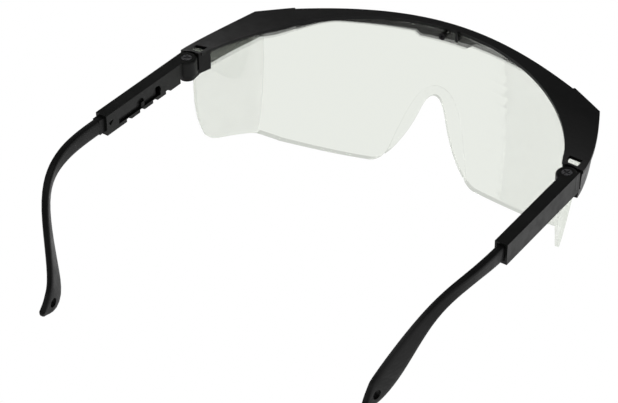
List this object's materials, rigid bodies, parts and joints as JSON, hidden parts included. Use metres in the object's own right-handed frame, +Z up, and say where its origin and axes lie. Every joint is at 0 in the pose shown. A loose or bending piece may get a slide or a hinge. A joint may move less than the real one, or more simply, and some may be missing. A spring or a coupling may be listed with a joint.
{
  "type": "safety glasses",
  "caption": "Browed safety glasses with a clear wraparound lens, folding temples, telescoping ear pieces and cord holes in their tips.",
  "frame": {"origin": "rear edge of the nose arch's rim at its top, where the glasses bear on the bridge of the nose", "axes": "+X to the wearer's left, +Y back along the temples, +Z up"},
  "size_m": [0.1679, 0.1702, 0.0574],
  "materials": {
    "brow": "satin black moulding",
    "lens": "clear polycarbonate, polished",
    "stud": "black moulding",
    "sleeve": "satin black moulding",
    "ear_piece": "fine satin black moulding",
    "screw": "plain steel"
  },
  "bodies": {
    "frame": {"brow_frame": "brow", "lens": "lens", "lens_stud": "stud", "left_hinge_screw": "screw", "right_hinge_screw": "screw"},
    "left_temple": {"left_temple_sleeve": "sleeve"},
    "right_temple": {"right_temple_sleeve": "sleeve"},
    "left_ear": {"left_ear_piece": "ear_piece"},
    "right_ear": {"right_ear_piece": "ear_piece"}
  },
  "joints": [
    {"name": "left_fold", "type": "hinge", "parent": "frame", "child": "left_temple", "pos_m": [0.0758, 0.0538, 0.0214], "axis": [0, 0, 1], "range_deg": [0, 98.5]},
    {"name": "right_fold", "type": "hinge", "parent": "frame", "child": "right_temple", "pos_m": [-0.0758, 0.0538, 0.0214], "axis": [0, 0, -1], "range_deg": [-14.5, 74]},
    {"name": "left_extend", "type": "slide", "parent": "left_temple", "child": "left_ear", "axis": [0.1478, 0.989, 0], "range_m": [-0.009, 0.012]},
    {"name": "right_extend", "type": "slide", "parent": "right_temple", "child": "right_ear", "axis": [0.1045, 0.9945, 0], "range_m": [-0.0024, 0.0186]}
  ]
}
